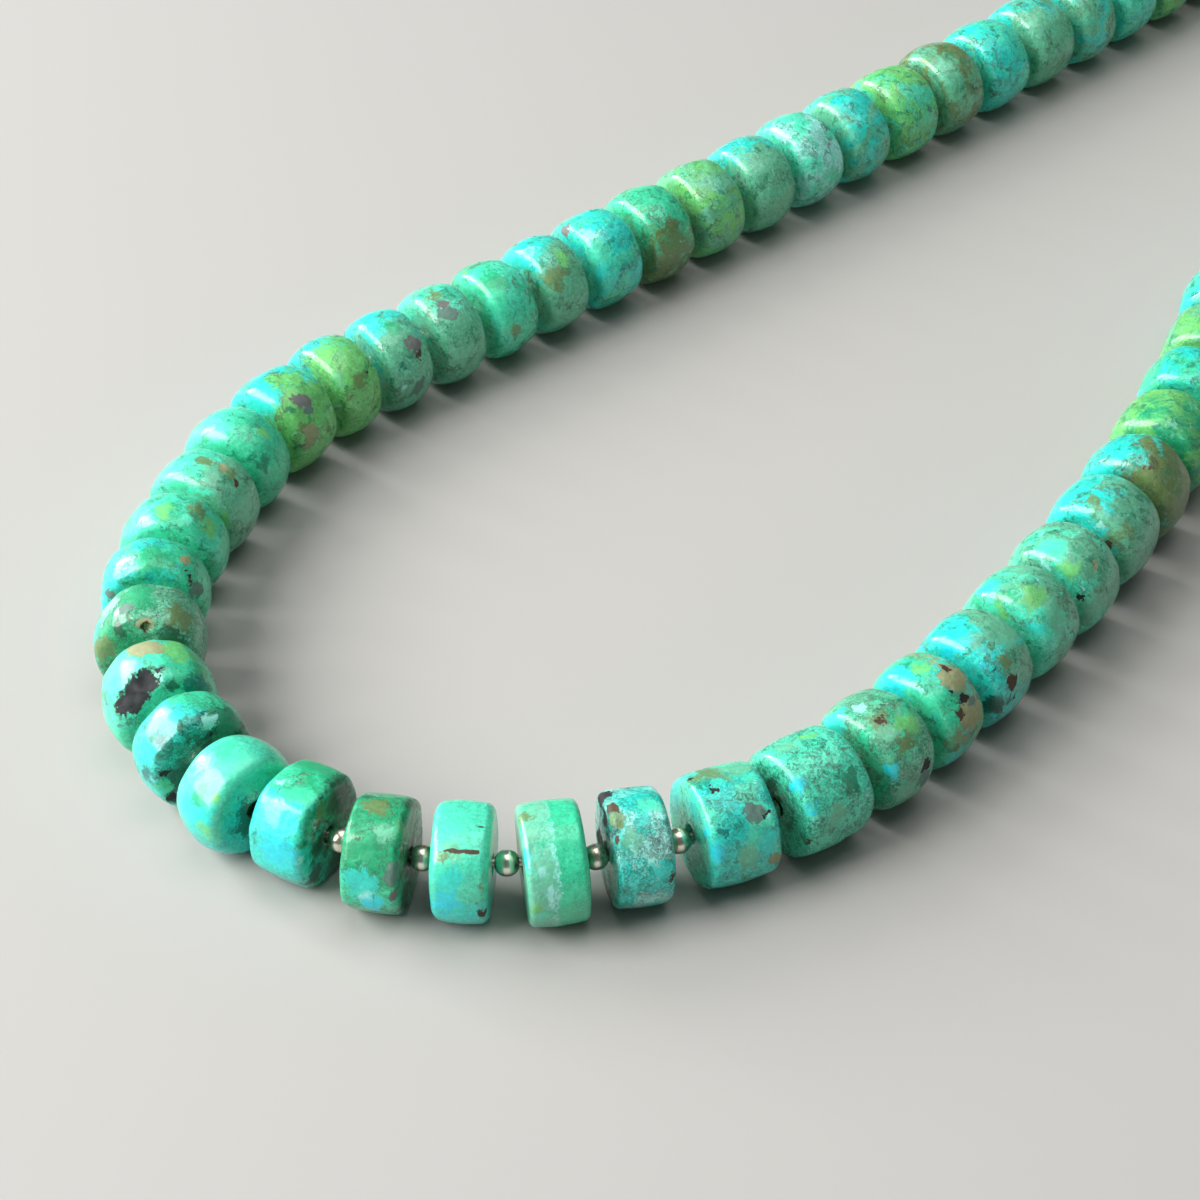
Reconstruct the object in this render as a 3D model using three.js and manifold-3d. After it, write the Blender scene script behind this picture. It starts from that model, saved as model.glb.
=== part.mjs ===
// A heishi necklace: drilled turquoise wheels strung close together, with a small round metal
// bead between each pair, lying on a table as one closed loop. Millimetres, +Z up, the table at z = 0.
// The loop's long way is along Y, its front bend towards -Y.
import * as THREE from "three";
import { mergeVertices } from "three/addons/utils/BufferGeometryUtils.js";
import Module from "manifold-3d";

// Driving dimensions.
const FRONT_POINT = { x: 0.5, y: -98.5 }; // where the two limbs of the string meet at the front of the loop
const BORE = 1.5; // drilled hole through a stone
const EDGE = 1.0; // rounding of a stone's rims
const SPACING = 1.5; // between the end faces of two neighbouring stones
// More bare wire than that after these loose stones, round the front bend.
const SLACK = { 22: 0.3, 23: 0.3, 24: 0.6, 26: 1.0, 27: 0.4, 28: 0.7, 29: 0.4, 30: 0.9 };
const SPACER = { across: 2.1, band: 0.5, taper: 0.2 }; // round metal bead: diameter, straight middle, coned end
const WIRE = 0.8; // beading wire
const CLASP = { across: 6.4, neck: 3.2, long: 12.4, shoulder: 2.2 }; // shoulder: length of each tapered end
const SIDES = { stone: 12, fusedStone: 10, spacer: 10, wire: 5, clasp: 16 };
const SINK = 0.3; // how far a fused spacer reaches into the stones beside it
const WIRE_STEP = 3.5; // length of one straight stretch of the modelled wire

// The string's way over the table, from the front point: lengths of arc, and how far each one turns.
const LEFT_LIMB = [
  { run: 14, turn: -32 },
  { run: 17, turn: -22.5 },
  { run: 36.5, turn: -42 },
  { run: 41.5, turn: 1 },
  { run: 78, turn: 3 },
  { run: 88, turn: -196 },
];
const RIGHT_LIMB = [
  { run: 31, turn: 56 },
  { run: 26, turn: 34 },
  { run: 26, turn: 8.5 },
  { run: 48.5, turn: 14.5 },
  { run: 21.5, turn: -35.5 },
  { run: 16, turn: -6.5 },
];

// The sizes that the wheels were cut to: diameter and thickness.
const CUTS = {
  t: { across: 9.4, thick: 4.5 },
  a: { across: 9.4, thick: 4.9 },
  b: { across: 9.5, thick: 5.4 },
  c: { across: 9.4, thick: 5.9 },
  d: { across: 9.4, thick: 6.5 },
  w: { across: 9.8, thick: 4.8 }, // the wide wheel at the front
};
const COLOURS = {
  q: 0x4fd6c6, // aqua
  m: 0x86dcb4, // mint
  s: 0x8fae86, // sage
  l: 0x8fbf5e, // lime
  e: 0x35b877, // emerald
  o: 0x77744a, // olive brown
};
// The cuts of the wheels in order, from the clasp down the left limb and up the right limb.
// The loose wheels at the front have a colour each as well.
const LEFT_BACK = [..."bbcbbcbbcbbcbbb"];
const FRONT = `bs cq cm bo cl bq bm bq bl bs bq al ae as aq al cq bm bl am ae bs cq tq
  am aq ts tm we tq cl dm bs ao cq cm cs dq bq de`.split(/\s+/);
const RIGHT_BACK = [..."cddbabab"];

const METAL = { color: 0xd8cbb0, metalness: 1, roughness: 0.25 };
const UP = new THREE.Vector3(0, 0, 1);

const wasm = await Module();
wasm.setup();

// A closed three.js geometry as a solid.
function solidOf(geometry) {
  const bare = geometry.clone();
  bare.deleteAttribute("normal");
  bare.deleteAttribute("uv");
  const merged = mergeVertices(bare, 1e-4);
  const vertProperties = new Float32Array(merged.attributes.position.array);
  const triVerts = new Uint32Array(merged.index.array);
  return new wasm.Manifold(new wasm.Mesh({ numProp: 3, vertProperties, triVerts }));
}

// A solid as a three.js geometry.
function geometryOf(solid) {
  const mesh = solid.getMesh();
  const geometry = new THREE.BufferGeometry();
  geometry.setAttribute("position", new THREE.BufferAttribute(mesh.vertProperties, 3));
  geometry.setIndex(new THREE.BufferAttribute(mesh.triVerts, 1));
  geometry.computeVertexNormals();
  return geometry;
}

// Where a limb has got to after a distance, starting at the front point in a given direction.
function alongLimb(limb, distance, startHeading) {
  let { x, y } = FRONT_POINT;
  let heading = startHeading;
  let left = distance;
  for (const { run, turn } of limb) {
    const part = Math.min(left, run);
    const turned = THREE.MathUtils.degToRad(turn) * (part / run);
    const chord = part * (Math.sin(turned / 2) / (turned / 2) || 1);
    x += chord * Math.cos(heading + turned / 2);
    y += chord * Math.sin(heading + turned / 2);
    heading += turned;
    left -= part;
    if (left <= 0) break;
  }
  return { x, y, heading };
}

const limbLength = (limb) => limb.reduce((sum, { run }) => sum + run, 0);
const LEFT_LENGTH = limbLength(LEFT_LIMB);
const STRING_LENGTH = LEFT_LENGTH + limbLength(RIGHT_LIMB);

// A place on the string, counted from its left end at the clasp, and the way that it runs there.
function onString(distance) {
  if (distance >= LEFT_LENGTH) return alongLimb(RIGHT_LIMB, distance - LEFT_LENGTH, 0);
  const place = alongLimb(LEFT_LIMB, LEFT_LENGTH - distance, Math.PI);
  return { ...place, heading: place.heading + Math.PI };
}

// The wheels, spaced along the string with the same length of bare wire left at each end.
function layStones() {
  const codes = [...LEFT_BACK, ...FRONT, ...RIGHT_BACK];
  const stones = codes.map(([cut, colour], i) => {
    const slack = SLACK[i - LEFT_BACK.length + 1] ?? 0; // the loose stones are counted from 1
    return { ...CUTS[cut], colour: COLOURS[colour], spacing: SPACING + slack };
  });
  const covered = stones.reduce((sum, { thick, spacing }) => sum + thick + spacing, -SPACING);
  let distance = (STRING_LENGTH - covered) / 2;
  for (const stone of stones) {
    const { x, y, heading } = onString(distance + stone.thick / 2);
    stone.centre = new THREE.Vector3(x, y, stone.across / 2);
    stone.way = new THREE.Vector3(Math.cos(heading), Math.sin(heading), 0);
    stone.start = stone.centre.clone().addScaledVector(stone.way, -stone.thick / 2);
    stone.end = stone.centre.clone().addScaledVector(stone.way, stone.thick / 2);
    distance += stone.thick + stone.spacing;
  }
  return stones;
}

// Turns a shape's own Y axis to run along the string.
function turnTo(object, centre, way) {
  const side = new THREE.Vector3().crossVectors(way, UP).normalize();
  const up = new THREE.Vector3().crossVectors(side, way);
  const matrix = new THREE.Matrix4().makeBasis(side, way, up).setPosition(centre);
  object.applyMatrix4(matrix);
  return object;
}

// A shape turned on the lathe, from half lengths and radii across its flats, with a flat underneath.
function turned(profile, sides) {
  const toCorner = 1 / Math.cos(Math.PI / sides);
  const points = profile.map(([radius, height]) => new THREE.Vector2(radius * toCorner, height));
  return new THREE.LatheGeometry(points, sides, Math.PI / sides);
}

// A wheel: a short cylinder with softened rims, drilled unless it is fused to its wire.
function wheel({ across, thick }, drilled) {
  const radius = across / 2;
  const half = thick / 2;
  const inner = drilled ? BORE / 2 : 0;
  const profile = [
    [inner, -half],
    [radius - EDGE, -half],
    [radius, EDGE - half],
    [radius, half - EDGE],
    [radius - EDGE, half],
    [inner, half],
  ];
  if (drilled) profile.push(profile[0]);
  return turned(profile, drilled ? SIDES.stone : SIDES.fusedStone);
}

function spacer(band, taper) {
  const profile = [
    [0, -band / 2 - taper],
    [SPACER.across / 2, -band / 2],
    [SPACER.across / 2, band / 2],
    [0, band / 2 + taper],
  ];
  return turned(profile, SIDES.spacer);
}

function wireThrough(points) {
  const way = new THREE.CatmullRomCurve3(points);
  const section = new THREE.Shape();
  for (let i = 0; i < SIDES.wire; i++) {
    const angle = (2 * Math.PI * i) / SIDES.wire;
    const corner = [(WIRE / 2) * Math.cos(angle), (WIRE / 2) * Math.sin(angle)];
    if (i) section.lineTo(...corner);
    else section.moveTo(...corner);
  }
  const steps = Math.ceil(way.getLength() / WIRE_STEP);
  return new THREE.ExtrudeGeometry(section, { steps, extrudePath: way, bevelEnabled: false });
}

const middleOf = ([before, after]) => before.clone().lerp(after, 0.5);

// The spacers in the gaps between stones. A fused one fills its gap and is sunk into both stones.
function spacersIn(gaps, fused) {
  return gaps.map(([before, after]) => {
    const band = fused ? before.distanceTo(after) : SPACER.band;
    const bead = spacer(band, fused ? SINK : SPACER.taper);
    return solidOf(turnTo(bead, middleOf([before, after]), after.clone().sub(before).normalize()));
  });
}

const joined = (solids) => geometryOf(solids.reduce((whole, solid) => whole.add(solid)));

const gapsIn = (row) => row.slice(1).map((stone, i) => [row[i].end, stone.start]);

// One wire through the bores of loose stones, from the spacer before them to the spacer after them.
function openString(stones, firstGap, lastGap) {
  const through = stones.flatMap(({ start, end }) => [start, end]);
  const wire = wireThrough([middleOf(firstGap), ...through, middleOf(lastGap)]);
  return joined([solidOf(wire), ...spacersIn([firstGap, ...gapsIn(stones), lastGap], false)]);
}

// A string whose stones and spacers are fused, with a tail of bare wire at its clasp end.
function fusedString(stones, tail) {
  const wheels = stones.map((stone) => solidOf(turnTo(wheel(stone, false), stone.centre, stone.way)));
  return joined([...wheels, solidOf(wireThrough(tail)), ...spacersIn(gapsIn(stones), true)]);
}

// A plain screw barrel, turned from one bar, bridging the two ends of the string.
function clasp(from, to) {
  const { across, neck, long, shoulder } = CLASP;
  const profile = [
    [0, -long / 2],
    [neck / 2, -long / 2],
    [across / 2, shoulder - long / 2],
    [across / 2, long / 2 - shoulder],
    [neck / 2, long / 2],
    [0, long / 2],
  ];
  const way = to.clone().sub(from).normalize();
  return turnTo(turned(profile, SIDES.clasp), from.clone().lerp(to, 0.5), way);
}

function add(group, name, geometry, look) {
  const mesh = new THREE.Mesh(geometry, new THREE.MeshStandardMaterial(look));
  mesh.name = name;
  group.add(mesh);
  return mesh;
}

const stones = layStones();
const leftBack = stones.slice(0, LEFT_BACK.length);
const front = stones.slice(LEFT_BACK.length, -RIGHT_BACK.length);
const rightBack = stones.slice(-RIGHT_BACK.length);

const necklace = new THREE.Group();
front.forEach((stone, i) => {
  const name = "stone_" + String(i + 1).padStart(2, "0");
  const look = { color: stone.colour, metalness: 0, roughness: 0.3 };
  const mesh = add(necklace, name, wheel(stone, true), look);
  turnTo(mesh, stone.centre, stone.way);
});

const height = stones[0].centre.z;
const stringEnd = (distance) => {
  const { x, y } = onString(distance);
  return new THREE.Vector3(x, y, height);
};
const leftEnd = stringEnd(0);
const rightEnd = stringEnd(STRING_LENGTH);
const leftGap = [leftBack.at(-1).end, front[0].start];
const rightGap = [front.at(-1).end, rightBack[0].start];
const leftString = fusedString(leftBack, [leftEnd, leftBack[0].centre]);
const rightString = fusedString(rightBack, [rightBack.at(-1).centre, rightEnd]);
add(necklace, "front_string", openString(front, leftGap, rightGap), METAL);
add(necklace, "back_string_left", leftString, { color: COLOURS.m, metalness: 0, roughness: 0.3 });
add(necklace, "back_string_right", rightString, { color: COLOURS.q, metalness: 0, roughness: 0.3 });
add(necklace, "clasp", clasp(rightEnd, leftEnd), METAL);

// The origin is on the table, under the middle of the loop.
const box = new THREE.Box3().setFromObject(necklace, true);
const middle = box.getCenter(new THREE.Vector3());
necklace.position.set(-middle.x, -middle.y, -box.min.z);

export default necklace;
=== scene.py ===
"""A heishi necklace: drilled turquoise wheels with metal spacer beads, laid on a table as a closed loop."""

import math

import bpy
import numpy as np
from mathutils import Matrix, Vector, noise


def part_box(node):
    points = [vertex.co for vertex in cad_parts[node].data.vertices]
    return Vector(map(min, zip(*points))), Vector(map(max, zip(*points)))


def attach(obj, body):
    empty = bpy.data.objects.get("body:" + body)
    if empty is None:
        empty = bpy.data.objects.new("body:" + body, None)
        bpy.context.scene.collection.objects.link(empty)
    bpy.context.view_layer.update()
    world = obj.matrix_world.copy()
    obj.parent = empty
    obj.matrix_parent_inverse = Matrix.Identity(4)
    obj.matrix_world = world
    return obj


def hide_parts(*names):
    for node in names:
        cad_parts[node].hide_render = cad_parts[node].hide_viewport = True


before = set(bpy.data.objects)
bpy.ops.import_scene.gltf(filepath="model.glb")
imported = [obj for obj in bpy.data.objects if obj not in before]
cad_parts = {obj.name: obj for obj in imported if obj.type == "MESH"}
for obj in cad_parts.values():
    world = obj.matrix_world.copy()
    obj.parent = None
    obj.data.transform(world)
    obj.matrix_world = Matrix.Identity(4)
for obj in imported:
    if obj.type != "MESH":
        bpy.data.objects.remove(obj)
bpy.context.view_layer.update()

# ------------------------------------------------------------------------------------------
# The lie of the string. It is a flexible beading wire, 457 mm round with its clasp, put down
# on a table as one closed loop. Two limbs of plain arcs leave the front point, to either side.
MM = 0.001
FRONT_POINT = (0.5, -98.5)
LEFT_LIMB = ((14, -32), (17, -22.5), (36.5, -42), (41.5, 1), (78, 3), (88, -196))
RIGHT_LIMB = ((31, 56), (26, 34), (26, 8.5), (48.5, 14.5), (21.5, -35.5), (16, -6.5))
LEFT_LENGTH = sum(run for run, turn in LEFT_LIMB)
STRING_LENGTH = LEFT_LENGTH + sum(run for run, turn in RIGHT_LIMB)


def along_limb(limb, distance, heading):
    """The place and heading on a limb, a distance in millimetres from the front point."""
    x, y = FRONT_POINT
    for run, turn in limb:
        part = min(distance, run)
        bend = math.radians(turn) * part / run
        chord = part * (math.sin(bend / 2) / (bend / 2) if bend else 1)
        x += chord * math.cos(heading + bend / 2)
        y += chord * math.sin(heading + bend / 2)
        heading += bend
        distance -= part
        if distance <= 0:
            break
    return x, y, heading


def on_string(distance):
    """The place and heading, a distance in millimetres from the string's left end."""
    if distance >= LEFT_LENGTH:
        return along_limb(RIGHT_LIMB, distance - LEFT_LENGTH, 0)
    x, y, heading = along_limb(LEFT_LIMB, LEFT_LENGTH - distance, math.pi)
    return x, y, heading + math.pi


# The sizes that the wheels were cut to, by a letter each: diameter and thickness.
CUTS = {
    "t": (9.4, 4.5),
    "a": (9.4, 4.9),
    "b": (9.5, 5.4),
    "c": (9.4, 5.9),
    "d": (9.4, 6.5),
    "w": (9.8, 4.8),
}
# The cuts in order, from the clasp down the left limb, over the front and up the right limb.
LEFT_BACK = "bbcbbcbbcbbcbbb"
FRONT = "bccbcbbbbbbaaaaacbbaabctaattwtcdbacccdbd"
RIGHT_BACK = "cddbabab"
SPACING = 1.5  # between the faces of two neighbours, which a bead holds apart
# More bare wire than that after these wheels of the front.
SLACK = {22: 0.3, 23: 0.3, 24: 0.6, 26: 1.0, 27: 0.4, 28: 0.7, 29: 0.4, 30: 0.9}
order = LEFT_BACK + FRONT + RIGHT_BACK
covered = sum(CUTS[cut][1] + SPACING for cut in order) - SPACING + sum(SLACK.values())
distance = (STRING_LENGTH - covered) / 2
places = []
for i, cut in enumerate(order):
    across, thick = CUTS[cut]
    x, y, heading = on_string(distance + thick / 2)
    places.append({"across": across, "thick": thick, "x": x, "y": y, "heading": heading})
    distance += thick + SPACING + SLACK.get(i - len(LEFT_BACK) + 1, 0)
# The whole row lies where the wide wheel at the front lies in the frame.
low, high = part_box("stone_29")
known = places[len(LEFT_BACK) + 28]
SHIFT_X = (low.x + high.x) / 2 / MM - known["x"]
SHIFT_Y = (low.y + high.y) / 2 / MM - known["y"]
for place in places:
    place["x"] += SHIFT_X
    place["y"] += SHIFT_Y


def stand(place, yaw=0.0, lean=0.0, aside=0.0):
    """A wheel's own frame in metres: X to its side, Y along the string, Z up.

    A wheel has some play on its wire: it may be turned, tipped (degrees) and moved aside (mm).
    """
    x = place["x"] + aside * math.sin(place["heading"])
    y = place["y"] - aside * math.cos(place["heading"])
    spot = Matrix.Translation(Vector((x, y, place["across"] / 2)) * MM)
    turned = Matrix.Rotation(place["heading"] - math.pi / 2 + math.radians(yaw), 4, "Z")
    return spot @ turned @ Matrix.Rotation(math.radians(lean), 4, "X")


# ------------------------------------------------------------------------------------------
# The turquoise. Green and blue stone, some of it from the brown and black host rock that the
# vein ran in, drilled, ground on the string and tumbled to a high polish.
STONE = {
    "aqua": (40, 222, 206),
    "cyan": (24, 218, 232),
    "ice": (160, 240, 228),
    "mint": (80, 228, 188),
    "spring": (60, 214, 162),
    "jade": (22, 134, 98),
    "emerald": (30, 172, 116),
    "lime": (112, 206, 112),
    "sage": (104, 194, 154),
    "olive": (108, 134, 78),
    "tan": (150, 158, 116),
    "brown": (74, 60, 42),
    "char": (30, 32, 32),
    "grey": (96, 130, 118),
    "teal": (0, 104, 98),
    # The deep green is the stone's dark net and spots; on the end faces of wheels 24, 26 and 27 it also
    # paints shade.
    "deep": (8, 54, 32),
    # The moss green is painted shade where it lies on the end faces of wheels 22 to 27, which turn away
    # from the light; as one small spot on the barrel of wheel 27 it is dark stone.
    "moss": (20, 80, 54),
    "mauve": (112, 114, 112),
    "pit": (42, 44, 46),
    "hole": (78, 50, 22),
}
HOST_ROCK = ("tan", "brown", "char", "grey", "pit", "hole", "mauve")


def paint(rgb):
    """A colour of 0 to 255 a channel as the linear colour that a shader takes."""
    scaled = [channel / 255 for channel in rgb]
    return [c / 12.92 if c < 0.04 else ((c + 0.055) / 1.055) ** 2.4 for c in scaled] + [1]


def bare_material(name):
    """A new node material, with its tree and its shader."""
    material = bpy.data.materials.new(name)
    material.use_nodes = True
    return material, material.node_tree, material.node_tree.nodes["Principled BSDF"]


def node(tree, kind, feeds, **settings):
    """One shader node. A feed is a value, or the socket of an earlier node."""
    made = tree.nodes.new("ShaderNode" + kind)
    for key, value in settings.items():
        setattr(made, key, value)
    for key, value in feeds.items():
        if isinstance(value, bpy.types.NodeSocket):
            tree.links.new(value, made.inputs[key])
        else:
            made.inputs[key].default_value = value
    return made


def maths(tree, operation, first, second=0.0, third=0.0):
    """A sum of two or three values."""
    feeds = {0: first, 1: second, 2: third}
    return node(tree, "Math", feeds, operation=operation).outputs[0]


def vectors(tree, operation, first, second, third=(0, 0, 0)):
    """The same for vectors. A dot product gives a value."""
    made = node(tree, "VectorMath", {0: first, 1: second, 2: third}, operation=operation)
    return made.outputs["Value" if operation == "DOT_PRODUCT" else "Vector"]


def in_millimetres(tree):
    """The place on a piece, in its own frame."""
    own = node(tree, "TexCoord", {}).outputs["Object"]
    return vectors(tree, "MULTIPLY", own, (1000, 1000, 1000))


def ramp(tree, value, start, end):
    """0 before start and 1 after end, smoothly, whichever of the two is larger."""
    feeds = {"Value": value, "From Min": start, "From Max": end}
    return node(tree, "MapRange", feeds, interpolation_type="SMOOTHSTEP").outputs[0]


def blend(tree, share, first, second, way="MIX"):
    """One colour laid over another."""
    made = node(tree, "Mix", {}, data_type="RGBA", blend_type=way)
    for socket, value in ((made.inputs[0], share), (made.inputs[6], first), (made.inputs[7], second)):
        if isinstance(value, bpy.types.NodeSocket):
            tree.links.new(value, socket)
        else:
            socket.default_value = value
    return made.outputs[2]


def noise_at(tree, place, scale, detail=3.0, rough=0.55, twist=0.0):
    """Clouds about a middle of 0.5. A scale of 1 makes them about a millimetre across."""
    feeds = {"Vector": place, "Scale": scale, "Detail": detail, "Roughness": rough, "Distortion": twist}
    return node(tree, "TexNoise", feeds)


PATCH_FOLD = 0.8  # how far the edge of a patch follows the folds of the stone
CRACK_FOLD = 0.22
SPOT_REACH = 1.7  # a spot fades out at this many times its radius
BUMP_HEIGHT = 0.00012


def turquoise(name, seed, main, other, slope=(0, 0, 0), veins=0.3, net=0.0, busy=1.0, bands=(), spots=()):
    """One stone's own turquoise. Its two colours meet across slope; bands and spots lie over them."""
    material, tree, shader = bare_material(name)
    mm = in_millimetres(tree)
    drift = (seed * 7.3, seed * -4.1, seed * 11.7)
    stone = vectors(tree, "ADD", mm, drift)

    # Colours run into each other along folded, ragged fronts.
    bent = mm
    for scale, detail, reach in ((0.45, 3, 2.6), (1.7, 6, 1.7)):
        swirl = noise_at(tree, stone, scale, detail, 0.68).outputs["Color"]
        swirl = vectors(tree, "SUBTRACT", swirl, (0.5, 0.5, 0.5))
        bent = vectors(tree, "MULTIPLY_ADD", swirl, (reach, reach, reach), bent)
    folded = vectors(tree, "ADD", bent, drift)

    # Ground colour: two tones in clouds, leaning from one side of the stone to the other, with
    # pale and mossy flecks in a busy stone.
    clouds = noise_at(tree, folded, 0.30, 6, 0.62, 0.6).outputs["Fac"]
    lean = vectors(tree, "DOT_PRODUCT", bent, slope)
    mixed = ramp(tree, maths(tree, "ADD", clouds, lean), 0.44, 0.58)
    colour = blend(tree, mixed, paint(STONE[main]), paint(STONE[other]))
    mottle = noise_at(tree, folded, 0.9, 8, 0.74, 0.3).outputs["Color"]
    mottle = node(tree, "SeparateColor", {0: mottle})
    pale = maths(tree, "MULTIPLY", ramp(tree, mottle.outputs[0], 0.56, 0.66), 0.5 * busy)
    colour = blend(tree, pale, colour, paint(STONE["ice"]))
    mossy = maths(tree, "MULTIPLY", ramp(tree, mottle.outputs[1], 0.52, 0.62), 0.85 * busy)
    colour = blend(tree, mossy, colour, paint(STONE["jade"]))

    # Bands of another colour lie across the stone, past a ragged front. A band of the dark moss green is
    # painted shade: it darkens an end face that turns away from the light.
    rough = None
    for kind, facing, start, fade in bands:
        depth = vectors(tree, "DOT_PRODUCT", bent, facing)
        share = ramp(tree, depth, start - fade, start + fade)
        if kind in HOST_ROCK:
            rough = share if rough is None else maths(tree, "MAXIMUM", rough, share)
        tint = blend(tree, ramp(tree, mottle.outputs[2], 0.40, 0.62), paint(STONE[kind]), colour)
        colour = blend(tree, share, colour, tint)

    # Fine net of darker stone between the grains, and dark specks.
    cells = node(tree, "TexVoronoi", {"Vector": folded, "Scale": 2.1}, feature="DISTANCE_TO_EDGE")
    netting = maths(tree, "MULTIPLY", ramp(tree, cells.outputs["Distance"], 0.17, 0.02), net)
    netting = maths(tree, "MULTIPLY", netting, ramp(tree, mottle.outputs[2], 0.40, 0.54))
    colour = blend(tree, netting, colour, paint(STONE["deep"]))
    specks = noise_at(tree, folded, 2.6, 3, 0.6).outputs["Fac"]
    specks = maths(tree, "MULTIPLY", ramp(tree, specks, 0.64, 0.70), veins)
    specks = maths(tree, "MULTIPLY", specks, ramp(tree, clouds, 0.42, 0.56))
    colour = blend(tree, specks, colour, paint(STONE["char"]))

    # Hair veins of host rock, here and there.
    fold = noise_at(tree, folded, 0.20, 3, 0.5).outputs["Fac"]
    fold = maths(tree, "ABSOLUTE", maths(tree, "SUBTRACT", fold, 0.5))
    broken = ramp(tree, mottle.outputs[0], 0.42, 0.52)
    hair = maths(tree, "MULTIPLY", ramp(tree, fold, 0.014, 0.002), broken)
    hair = maths(tree, "MULTIPLY", hair, veins)
    colour = blend(tree, hair, colour, paint(STONE["brown"]))

    # The stone's own spots, each where it lies on this stone, with a ragged edge. A spot has one
    # radius, or one a direction where it is a crack or a streak.
    dull = maths(tree, "MAXIMUM", hair, maths(tree, "MULTIPLY", netting, 0.3))
    rough = dull if rough is None else maths(tree, "MAXIMUM", dull, rough)
    pitted = None
    folds = vectors(tree, "SUBTRACT", bent, mm)
    patch = vectors(tree, "MULTIPLY_ADD", folds, (PATCH_FOLD,) * 3, mm)
    crack = vectors(tree, "MULTIPLY_ADD", folds, (CRACK_FOLD,) * 3, mm)
    ragged = maths(tree, "MULTIPLY_ADD", mottle.outputs[2], 2.4, -1.2)
    crisp = maths(tree, "MULTIPLY", ragged, 0.2)
    for kind, x, y, z, *size in spots:
        long = len(size) == 3
        reach = [radius * SPOT_REACH for radius in (size if long else size * 3)]
        feeds = {"Vector": crack if long else patch, "Location": (x, y, z), "Scale": reach}
        near = node(tree, "Mapping", feeds, vector_type="TEXTURE").outputs[0]
        near = node(tree, "TexGradient", {"Vector": near}, gradient_type="SPHERICAL").outputs["Fac"]
        hard = kind in HOST_ROCK
        near = maths(tree, "ADD", near, crisp if hard else ragged)
        share = ramp(tree, near, 0.34, 0.42 if hard else 0.62)
        if hard:
            rough = maths(tree, "MAXIMUM", rough, share)
        else:
            share = maths(tree, "MULTIPLY", share, 0.85)
        if kind == "pit":
            pitted = share if pitted is None else maths(tree, "MAXIMUM", pitted, share)
        colour = blend(tree, share, colour, paint(STONE[kind]))

    # Grain: every colour is a little uneven close up.
    grain = noise_at(tree, stone, 2.4, 6, 0.70).outputs["Fac"]
    feeds = {"Value": grain, "From Min": 0.32, "From Max": 0.68, "To Min": 0.82, "To Max": 1.10}
    shade = node(tree, "MapRange", feeds).outputs[0]
    grey = node(tree, "CombineColor", {0: shade, 1: shade, 2: shade}).outputs[0]
    colour = blend(tree, 1.0, colour, grey, "MULTIPLY")
    tree.links.new(colour, shader.inputs["Base Color"])

    # Polish and relief: host rock stays duller and lies a little deeper, and a pit is crusty.
    polish = maths(tree, "MULTIPLY_ADD", rough, 0.36, maths(tree, "MULTIPLY_ADD", grain, 0.20, 0.22))
    tree.links.new(polish, shader.inputs["Roughness"])
    swell = noise_at(tree, stone, 0.9, 2, 0.5).outputs["Fac"]
    relief = maths(tree, "MULTIPLY_ADD", rough, -0.7, maths(tree, "MULTIPLY", grain, 0.45))
    relief = maths(tree, "MULTIPLY_ADD", swell, 1.6, relief)
    if pitted is not None:
        crust = noise_at(tree, stone, 4.5, 8, 0.8).outputs["Fac"]
        relief = maths(tree, "MULTIPLY_ADD", maths(tree, "MULTIPLY", crust, pitted), 2.6, relief)
    bump = node(tree, "Bump", {"Height": relief, "Strength": 0.6, "Distance": BUMP_HEIGHT})
    tree.links.new(bump.outputs[0], shader.inputs["Normal"])
    shader.inputs["Specular IOR Level"].default_value = 0.5
    glaze = maths(tree, "MULTIPLY_ADD", rough if pitted is None else pitted, -0.6, 0.55)
    tree.links.new(maths(tree, "MAXIMUM", glaze, 0.0), shader.inputs["Coat Weight"])
    shader.inputs["Coat Roughness"].default_value = 0.12
    return material


# The shape of a wheel. Rims are rounded by the tumbling, the barrel keeps a slight crown and the
# flats where it was ground, and the bore is drilled through with a softened mouth at each end.
BORE = 1.5
MOUTH = 0.22  # rounding of the bore's ends
FACES = 7  # flats ground round a barrel
LUMPS = 0.10  # the tumbled barrel's slow unevenness, either way
PRICKS = 0.025
DENTS = {"pit": 0.42, "hole": 0.55, "char": 0.07, "brown": 0.04}  # depth, by the rock of the spot
NEAR_GRID = (15, 132)  # points over a rim and round a wheel, at the front
FAR_GRID = (10, 84)
BACK_GRID = (8, 60)


def wheel_outline(across, thick, rim, crown, steps):
    """Points (radius, along) from the mouth of the bore at -Y, over the barrel, to the other mouth."""
    half, radius, bore = thick / 2, across / 2, BORE / 2
    tilt = 0.0
    for _ in range(6):
        barrel_end = half - rim * (1 - math.sin(tilt))
        tilt = math.atan(2 * crown / barrel_end)
    middle = radius - crown - rim * math.cos(tilt)
    right = [(radius - crown * (y / barrel_end) ** 2, y) for y in np.linspace(0, barrel_end, steps)]
    for angle in np.linspace(tilt, math.pi / 2, steps)[1:]:
        away = (math.cos(angle), math.sin(angle) - math.sin(tilt))
        right.append((middle + rim * away[0], barrel_end + rim * away[1]))
    for r in np.linspace(middle, bore + MOUTH, steps)[1:]:
        right.append((r, half))
    for angle in np.linspace(math.pi / 2, math.pi, 4)[1:]:
        right.append((bore + MOUTH + MOUTH * math.cos(angle), half - MOUTH + MOUTH * math.sin(angle)))
    left = [(r, -y) for r, y in reversed(right[1:])]
    return np.array(left + right)


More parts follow.
